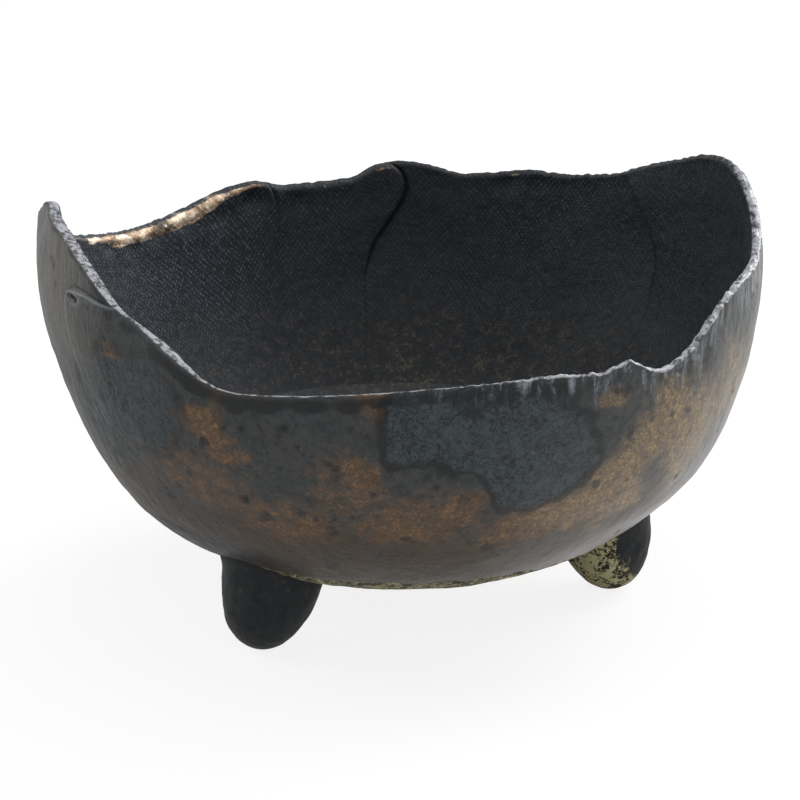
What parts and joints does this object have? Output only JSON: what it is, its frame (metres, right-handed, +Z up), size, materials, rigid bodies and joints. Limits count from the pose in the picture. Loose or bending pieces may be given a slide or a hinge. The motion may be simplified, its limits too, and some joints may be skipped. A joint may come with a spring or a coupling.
{
  "type": "footed bowl",
  "caption": "Round footed bowl with an uneven torn rim, hand-built from overlapping slabs of glazed clay.",
  "frame": {"origin": "on the bowl's axis, at the level of the surface that the feet stand on", "axes": "+Z up along the bowl's axis, -Y towards the front, +X to the right seen from the front"},
  "size_m": [0.242, 0.2419, 0.1452],
  "materials": {
    "wall_glaze": "satin",
    "floor_glaze": "satin",
    "foot_glaze": "satin"
  },
  "bodies": {
    "root": {"floor_disc": "floor_glaze", "wall_front": "wall_glaze", "wall_right": "wall_glaze", "wall_back": "wall_glaze", "wall_back_left": "wall_glaze", "wall_left": "wall_glaze", "wall_tip": "wall_glaze", "foot_front": "foot_glaze", "foot_right": "foot_glaze", "foot_back": "foot_glaze"}
  },
  "joints": []
}
